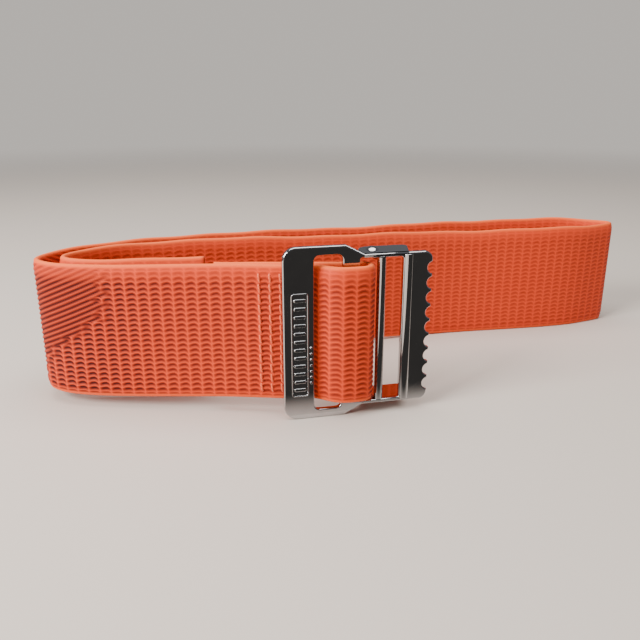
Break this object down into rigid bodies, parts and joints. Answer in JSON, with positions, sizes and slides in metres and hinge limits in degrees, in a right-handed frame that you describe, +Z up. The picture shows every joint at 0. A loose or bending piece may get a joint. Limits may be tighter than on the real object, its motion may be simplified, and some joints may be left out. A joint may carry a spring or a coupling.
{
  "type": "spine board strap",
  "caption": "Woven webbing strap lying on its edge in a loose spiral, with a sewn loop holding a toothed metal buckle and its swinging clamp bar.",
  "frame": {"origin": "on the floor, under the middle of the whole strap's box", "axes": "+Z up across the webbing's width, +X along the front run from the left turn towards the buckle's toothed edge, +Y back from the buckle to the rear run"},
  "size_m": [0.2512, 0.1302, 0.063],
  "materials": {
    "orange_webbing": "coarse weave",
    "orange_thread": "matte",
    "chrome_steel": "polished plate"
  },
  "bodies": {
    "strap": {"webbing": "orange_webbing", "stitching": "orange_thread"},
    "buckle": {"buckle_frame": "chrome_steel", "pivot_rivets": "chrome_steel"},
    "clamp": {"clamp_bar": "chrome_steel"}
  },
  "joints": [
    {"name": "buckle_swing", "type": "hinge", "parent": "strap", "child": "buckle", "pos_m": [-0.0094, -0.0586, 0.0315], "axis": [0, 0, 1], "range_deg": [0, 12]},
    {"name": "clamp_turn", "type": "hinge", "parent": "buckle", "child": "clamp", "pos_m": [-0.00168, -0.05025, 0.0315], "axis": [0, 0, 1], "range_deg": [0, 65]}
  ]
}
